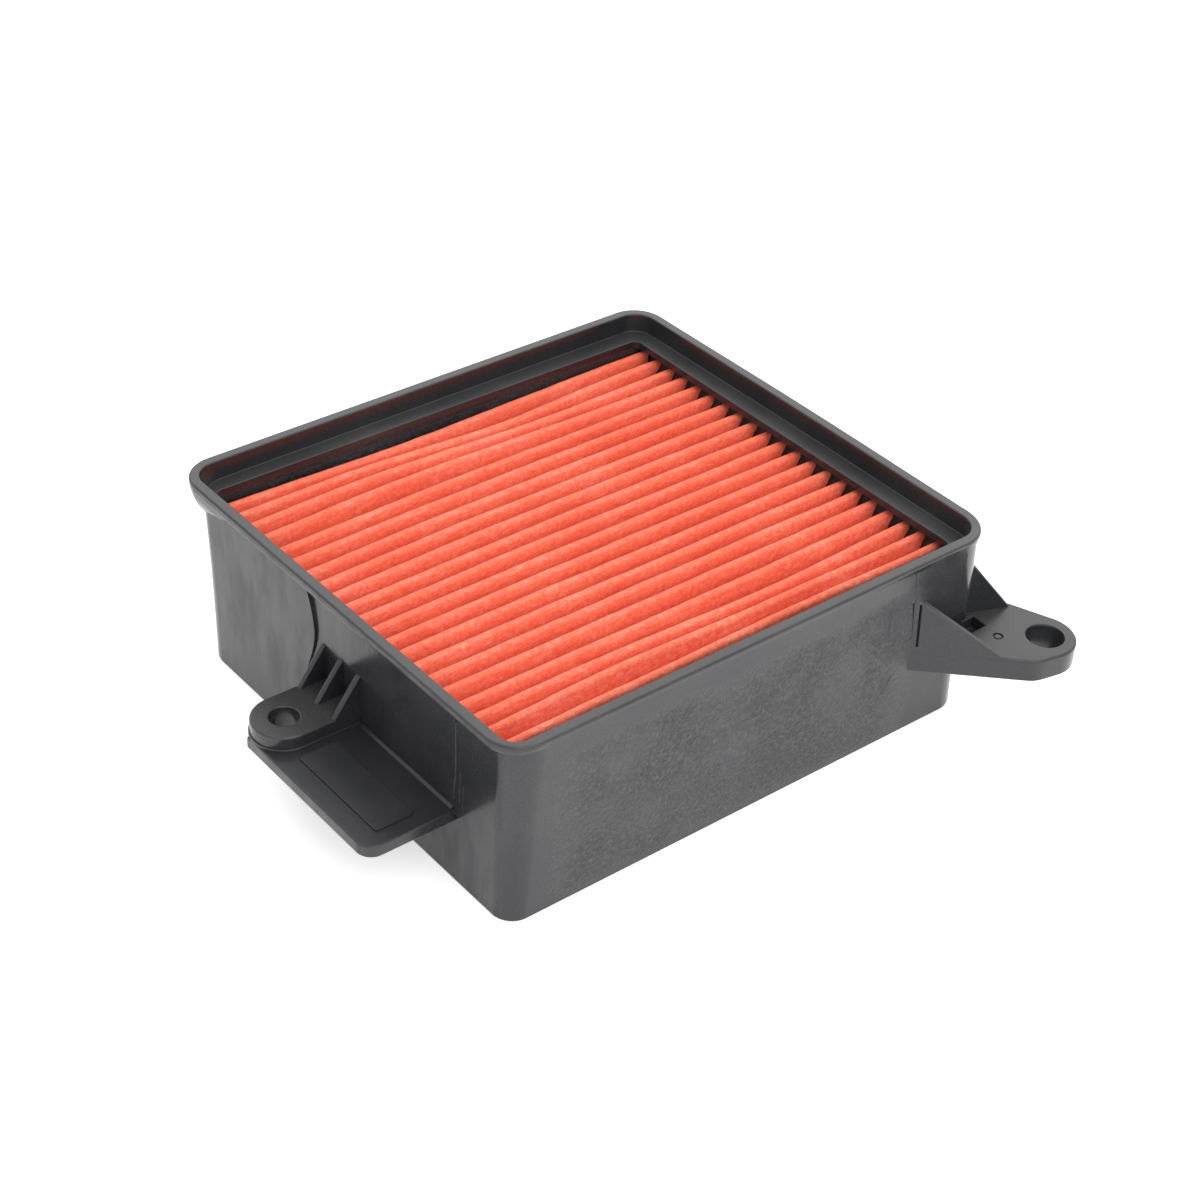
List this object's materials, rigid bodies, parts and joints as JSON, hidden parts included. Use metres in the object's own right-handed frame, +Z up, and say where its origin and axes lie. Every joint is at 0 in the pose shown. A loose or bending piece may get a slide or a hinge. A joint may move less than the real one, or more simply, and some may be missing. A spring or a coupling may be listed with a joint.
{
  "type": "panel air filter",
  "caption": "Rectangular panel air filter with a pleated paper pack bonded into a deep moulded plastic housing that has screw ears on two sides.",
  "frame": {"origin": "Centre of the overall footprint, ears included, on the base plane of the housing (z = 0).", "axes": "+Z up through the lip, the intake side; +X along the pleats from the shelf side to the lug side; +Y from the plain front wall to the rear flange."},
  "size_m": [0.166, 0.1418, 0.0465],
  "materials": {
    "housing_black_plastic": "semi-gloss moulded black polypropylene",
    "paper_oiled_red": "fibrous oiled filter paper, coral red",
    "adhesive_black": "cured adhesive",
    "adhesive_black_right": "cured adhesive",
    "adhesive_black_front": "cured adhesive",
    "adhesive_black_rear": "cured adhesive"
  },
  "bodies": {
    "root": {"filter_housing": "housing_black_plastic", "pleated_paper": "paper_oiled_red", "left_pleat_end_seal": "adhesive_black", "right_pleat_end_seal": "adhesive_black_right", "front_flap_seal": "adhesive_black_front", "rear_flap_seal": "adhesive_black_rear"}
  },
  "joints": []
}
